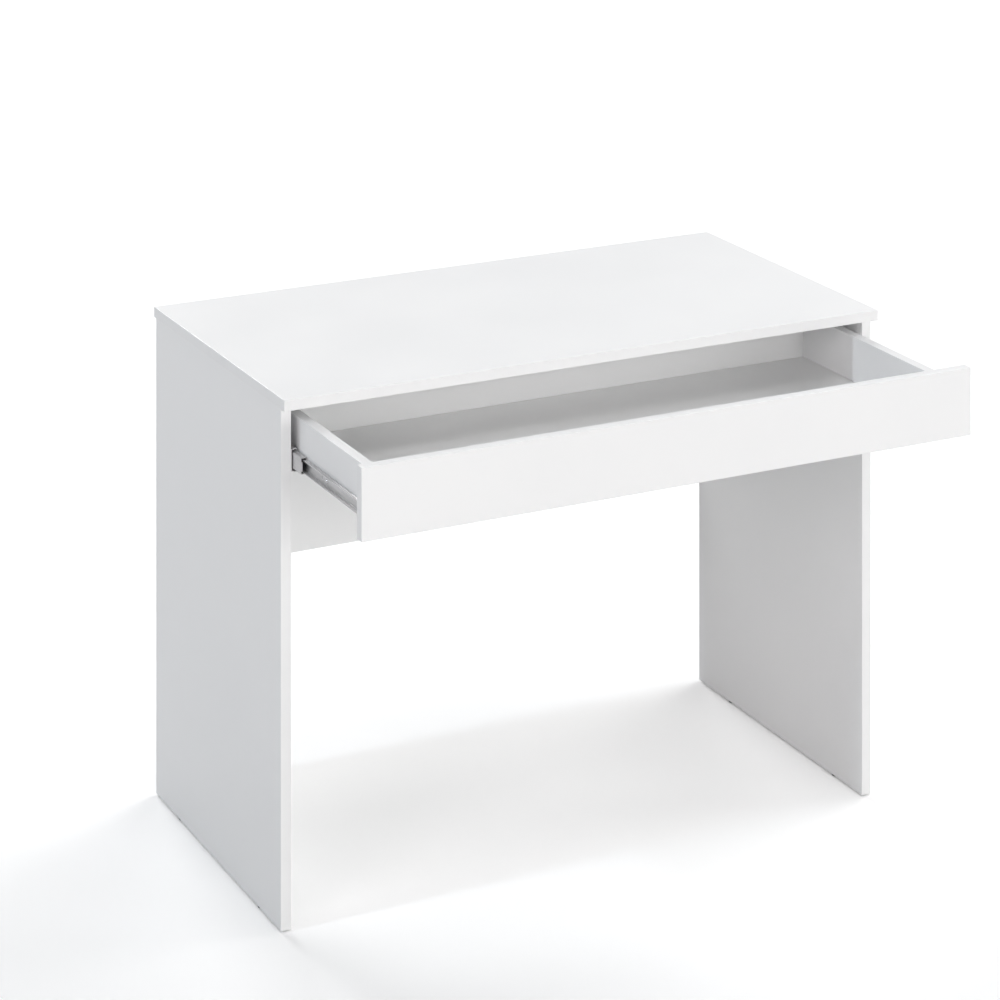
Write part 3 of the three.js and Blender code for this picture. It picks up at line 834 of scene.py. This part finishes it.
def foot(node):
    """A glide: a dished plastic disc with a rounded rim, and the steel nail through its middle."""
    radius = length_of(node, X) / 2
    under = [(0, 0.9), (1.9, 0.9), (2.3, 0.1), (3.0, 0.0)]
    rim = arc((radius - 0.9, 0.9), 0.9, -90, 0)
    rim += arc((radius - 0.4, FOOT_THICKNESS - 0.4), 0.4, 0, 90, 3)
    bm = rings(plain(under + rim + [(0, FOOT_THICKNESS)]), FOOT_SIDES)
    tip = length_of(node, Z)
    nail = [(0, 0.75), (1.5, 0.75), (1.7, 0.9), (1.7, 1.4), (1.05, 1.5)]
    nail += [(1.05, tip - 2.2), (0.3, tip - 0.2), (0, tip)]
    join_into(bm, paint(rings(plain(nail), NAIL_SIDES), 1))
    aimed(bm, end_of(node, Z, -1), unit(Z))
    stand_for(new_object(node, bm, [PLASTIC, SCREW_STEEL]), node)


def make_fasteners():
    for side, sign in SIDES:
        for row in ROWS:
            foot(f"{side}_{row}_foot")
            dowel(f"{side}_{row}_dowel")
            cam_bolt(f"{side}_{row}_top_cam_bolt", Z, -1)
            cam(f"{side}_{row}_top_cam", X, -sign, f"{side}_{row}_top_cam_bolt", Z)
            flat_screw(f"{side}_{row}_cabinet_screw", -sign)
            pan_screw(f"{side}_{row}_drawer_screw", sign)
        for row in BACK_ROWS:
            cam_bolt(f"{side}_{row}_back_cam_bolt", X, -sign)
            cam(f"{side}_{row}_back_cam", Y, 1, f"{side}_{row}_back_cam_bolt", X)
        cam_bolt(f"{side}_front_cam_bolt", Y, 1)
        cam(f"{side}_front_cam", X, sign, f"{side}_front_cam_bolt", Y)
        long_screw(f"{side}_drawer_back_screw", sign)


# ---- Slides ---------------------------------------------------------------------------------------
# Sections are drawn as (u, v) in millimetres: u from the side panel's inner face towards the
# drawer, v above the slide's centre line. Each corner of a bent sheet has its own bend radius.

SHEET = 1.2
CABINET_SECTION = [
    (0.6, 15.6, 1.6),
    (3.4, 15.6, 0.7),
    (4.1, 16.4, 0.8),
    (8.9, 16.4, 1.5),
    (8.9, 14.3, 0),
]
INTERMEDIATE_SECTION = [
    (3.1, 11.4, 1.5),
    (5.0, 11.4, 0.7),
    (5.5, 10.9, 0.7),
    (6.5, 10.9, 0.7),
    (7.0, 11.4, 0.7),
    (10.75, 11.4, 0),
]
DRAWER_SECTION = [
    (12.4, 8.4, 1.5),
    (9.9, 8.4, 0.7),
    (9.4, 7.95, 0.7),
    (7.6, 7.95, 0.7),
    (7.1, 8.4, 0.7),
    (5.5, 8.4, 0),
]
OUTER_BALL = (6.0, 13.65, 2.1)  # u, v and radius
INNER_BALL = (8.5, 9.68, 1.1)


def bent(corners, steps=5):
    """The middle line of a bent sheet through (u, v, bend radius) corners."""
    path = []
    for i, (u, v, radius) in enumerate(corners):
        here = Vector((u, v))
        if not radius:
            path.append(here)
            continue
        before = (Vector(corners[i - 1][:2]) - here).normalized()
        after = (Vector(corners[i + 1][:2]) - here).normalized()
        half_angle = before.angle(after) / 2
        back = radius / math.tan(half_angle)
        centre = here + (before + after).normalized() * (radius / math.sin(half_angle))
        start, end = here + before * back - centre, here + after * back - centre
        sweep = start.angle_signed(end)
        for step in range(steps + 1):
            path.append(centre + Matrix.Rotation(-sweep * step / steps, 2) @ start)
    return path


def sheet_outline(section):
    """The closed outline of a bent sheet, from half its corners."""
    lower = [(u, -v, radius) for u, v, radius in reversed(section)]
    path = bent(lower + section)
    normals = []
    for i, point in enumerate(path):
        along = (path[min(i + 1, len(path) - 1)] - path[max(i - 1, 0)]).normalized()
        normals.append(Vector((-along.y, along.x)) * SHEET / 2)
    left = [p + n for p, n in zip(path, normals)]
    right = [p - n for p, n in zip(path, normals)]
    return left + right[::-1]


PAST_WEB = 2.0


class Slide:
    """Places (u, v) sections on one side of the desk."""

    def __init__(self, side, sign):
        self.side = side
        self.sign = sign
        self.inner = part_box(f"{side}_side_panel")[1 if sign < 0 else 0].x
        self.centre = middle(f"{side}_slide_cabinet_member").z

    def point(self, u, y, v):
        return Vector((self.inner - self.sign * u * MM, y, self.centre + v * MM))

    def bar(self, outline, y_front, y_rear):
        """A bar of constant section."""
        return lofted([[self.point(u, y, v) for u, v in outline] for y in (y_front, y_rear)])

    def web_hole(self, web, y, half_length, half_height, v):
        """A cutter for a slot with round ends through a web; half lengths in millimetres."""
        straight = half_length - half_height
        outline = arc((straight, 0), half_height, -90, 90, 10)
        outline += arc((-straight, 0), half_height, 90, 270, 10)
        faces = [
            [self.point(depth, y + a * MM, v + b) for a, b in outline]
            for depth in (web - PAST_WEB, web + PAST_WEB)
        ]
        return new_object("cutter", lofted(faces), [])

    def member(self, kind, section, web, holes, notches=()):
        """A sheet-steel member: holes are as hole() and slot() give them, and notches are outlines
        cut off its front end."""
        node = f"{self.side}_slide_{kind}_member"
        low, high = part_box(node)
        piece = new_object(node, self.bar(sheet_outline(section), low.y, high.y), [SHEET_STEEL])
        cutters = [self.web_hole(web, low.y + at * MM, a, b, v) for at, a, b, v in holes]
        for outline in notches:
            notch = self.bar(outline, low.y - SLACK, low.y + TONGUE_LENGTH * MM)
            cutters.append(new_object("cutter", notch, []))
        carve(piece, cutters)
        stand_for(piece, node, weighted=True)

    def screw_distance(self, kind, screw):
        node = f"{self.side}_slide_{kind}_member"
        return (middle(f"{self.side}_{screw}").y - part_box(node)[0].y) / MM


SCREW_SEAT = 3.6
PILOT = 1.9
SPARE = 16  # from a screw to the slot or hole that could take it instead


def hole(at, radius, v=0):
    """A round hole: distance from the front end, radius, height above the centre line."""
    return at, radius, radius, v


def slot(at, half_length=4.5, half_height=2.3):
    return at, half_length, half_height, 0


def cabinet_member(slide):
    seats = [slide.screw_distance("cabinet", f"{row}_cabinet_screw") for row in ROWS]
    holes = [hole(at, SCREW_SEAT) for at in seats] + [slot(at + SPARE) for at in seats]
    holes += [hole(12, 2.0), slot(165), hole(229, 2.3), slot(261), hole(389, 2.0)]
    slide.member("cabinet", CABINET_SECTION, 0.6, holes)


TONGUE_LENGTH = 3.8
TONGUE_HALF = 6.5
PAST_FLANGE = 13
PAST_LIP = 12


def intermediate_member(slide):
    """Its web reaches out in a tongue between the flanges, which end short of it."""
    notches = [
        [(0, low), (PAST_LIP, low), (PAST_LIP, high), (0, high)]
        for low, high in ((TONGUE_HALF, PAST_FLANGE), (-PAST_FLANGE, -TONGUE_HALF))
    ]
    holes = [slot(at, 9, 5) for at in (60, 188, 300)] + [hole(358, 1.6, v) for v in (5, -5)]
    slide.member("intermediate", INTERMEDIATE_SECTION, 3.1, holes, notches)


def drawer_member(slide):
    seats = [slide.screw_distance("drawer", f"{row}_drawer_screw") for row in ROWS]
    holes = [hole(at, PILOT) for at in seats]
    holes += [hole(seats[0] + SPARE, 2.3), slot(seats[1] + SPARE), hole(370, 2.2)]
    slide.member("drawer", DRAWER_SECTION, 12.4, holes)


BALL_PITCH = 12 * MM
BALL_CLEARANCE = 0.05
PAST_ARM = 2.0
WINDOW_SIDES = 20


def ball_bm(place, radius):
    bm = bmesh.new()
    bmesh.ops.create_icosphere(bm, subdivisions=3, radius=radius * MM)
    bm.transform(Matrix.Translation(place))
    return bm


def retainer(slide, kind, material, web, sheet, reach, ball):
    """A ball cage: a strip along the web and two arms with a row of balls each."""
    node = f"{slide.side}_{kind}_ball_retainer"
    low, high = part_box(node)
    u, v, radius = ball
    tip = reach - sheet / 2
    over, under = v + sheet / 2, v - sheet / 2
    section = [(web, over), (tip, over), (tip, under), (web + sheet, under)]
    outline = section + [(a, -b) for a, b in reversed(section)]
    cage = new_object(node, slide.bar(outline, low.y, high.y), [material, BALL_STEEL])
    count = round((high.y - low.y) / BALL_PITCH) - 1
    ys = [low.y + BALL_PITCH * (i + 1) for i in range(count)]
    starts = [slide.point(u, y, -v - PAST_ARM) for y in ys]
    window, through = (radius + BALL_CLEARANCE) * MM, 2 * (v + PAST_ARM) * MM
    carve(cage, [rod_cutter(start, unit(Z), window, through, WINDOW_SIDES) for start in starts])
    round_edges(cage, 0.12, 2)
    bm = bmesh.new()
    bm.from_mesh(cage.data)
    for y in ys:
        for height in (v, -v):
            join_into(bm, paint(ball_bm(slide.point(u, y, height), radius), 1))
    bm.to_mesh(cage.data)
    bm.free()
    stand_for(cage, node)


BUMPER_HALF = 13.9
RIB_HALF = 1.6
RIB_INSET = 0.6
RIB_REACH = 1.5 * MM
RIB_LENGTH = 2 * MM  # a rib's root is sunk into the block
RIB_PITCH = 9


def bumper(slide):
    """The soft stop at the rear end of a cabinet member, with three ribs that take the blow."""
    node = f"{slide.side}_slide_bumper"
    low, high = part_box(node)
    near = abs(end_of(node, X, slide.sign).x - slide.inner) / MM
    far = near + length_of(node, X)
    block = [(near, -BUMPER_HALF), (far, -BUMPER_HALF), (far, BUMPER_HALF), (near, BUMPER_HALF)]
    bm = slide.bar(block, low.y + RIB_REACH, high.y)
    near, far = near + RIB_INSET, far - RIB_INSET
    for v in (-RIB_PITCH, 0, RIB_PITCH):
        rib = [(near, v - RIB_HALF), (far, v - RIB_HALF), (far, v + RIB_HALF), (near, v + RIB_HALF)]
        join_into(bm, slide.bar(rib, low.y, low.y + RIB_LENGTH))
    piece = new_object(node, bm, [PLASTIC])
    round_edges(piece, 0.4, 3)
    stand_for(piece, node, weighted=True)


def make_slides():
    for side, sign in SIDES:
        slide = Slide(side, sign)
        cabinet_member(slide)
        intermediate_member(slide)
        drawer_member(slide)
        retainer(slide, "outer", SHEET_STEEL, 1.5, 0.6, 8.7, OUTER_BALL)
        retainer(slide, "inner", PLASTIC, 4.1, 1.1, 10.2, INNER_BALL)
        bumper(slide)


# ---- The studio -----------------------------------------------------------------------------------

FLOOR_HALF = 60.0


def make_floor():
    bm = bmesh.new()
    bmesh.ops.create_grid(bm, x_segments=1, y_segments=1, size=FLOOR_HALF)
    floor = new_object("studio_floor", bm, [studio_floor()])


def sun(name, azimuth, elevation, strength, spread, colour=(1, 1, 1)):
    """A soft light from far away: azimuth from +X towards +Y and elevation, in degrees."""
    data = bpy.data.lights.new(name, "SUN")
    data.energy = strength
    data.angle = math.radians(spread)
    data.color = colour
    light = bpy.data.objects.new(name, data)
    a, e = math.radians(azimuth), math.radians(elevation)
    source = Vector((math.cos(a) * math.cos(e), math.sin(a) * math.cos(e), math.sin(e)))
    light.rotation_euler = source.to_track_quat("Z", "Y").to_euler()
    bpy.context.scene.collection.objects.link(light)


SHEEN_LIGHT = 0.45  # how bright the surround looks in reflections


def make_world():
    """A white surround to look at and a dimmer one in reflections; the suns give all other light."""
    world = bpy.data.worlds.new("studio")
    bpy.context.scene.world = world
    world.use_nodes = True
    nodes, links = world.node_tree.nodes, world.node_tree.links
    rays = nodes.new("ShaderNodeLightPath")
    brightness = nodes.new("ShaderNodeMath")
    brightness.operation = "MULTIPLY_ADD"
    links.new(rays.outputs["Is Glossy Ray"], brightness.inputs[0])
    brightness.inputs[1].default_value = SHEEN_LIGHT
    links.new(rays.outputs["Is Camera Ray"], brightness.inputs[2])
    background = nodes["Background"]
    background.inputs["Color"].default_value = (1, 1, 1, 1)
    links.new(brightness.outputs[0], background.inputs["Strength"])


def make_lights():
    make_world()
    sun("overhead", -90, 70, 0.50, 25)
    sun("front_low", -90, 10, 1.12, 30, (1.0, 0.99, 0.97))
    sun("front_left", -145, 20, 0.70, 25, (1.0, 0.96, 0.975))
    sun("front_right_low", -45, 10, 0.79, 30)
    sun("right", -8, 25, 0.75, 25)
    sun("right_high", 20, 45, 0.88, 25, (1.0, 0.99, 0.985))
    sun("right_rear", 45, 30, 0.35, 25)
    sun("rear", 90, 25, 1.72, 25)
    sun("left", 180, 25, 0.43, 6, (0.84, 0.94, 1.0))
    sun("left_crisp", 180, 50, 0.23, 3, (0.84, 0.92, 1.0))


make_camera()
make_boards()
make_drawer_bottom()
make_fasteners()
make_slides()
make_floor()
make_lights()
bpy.context.scene.view_settings.view_transform = "Standard"
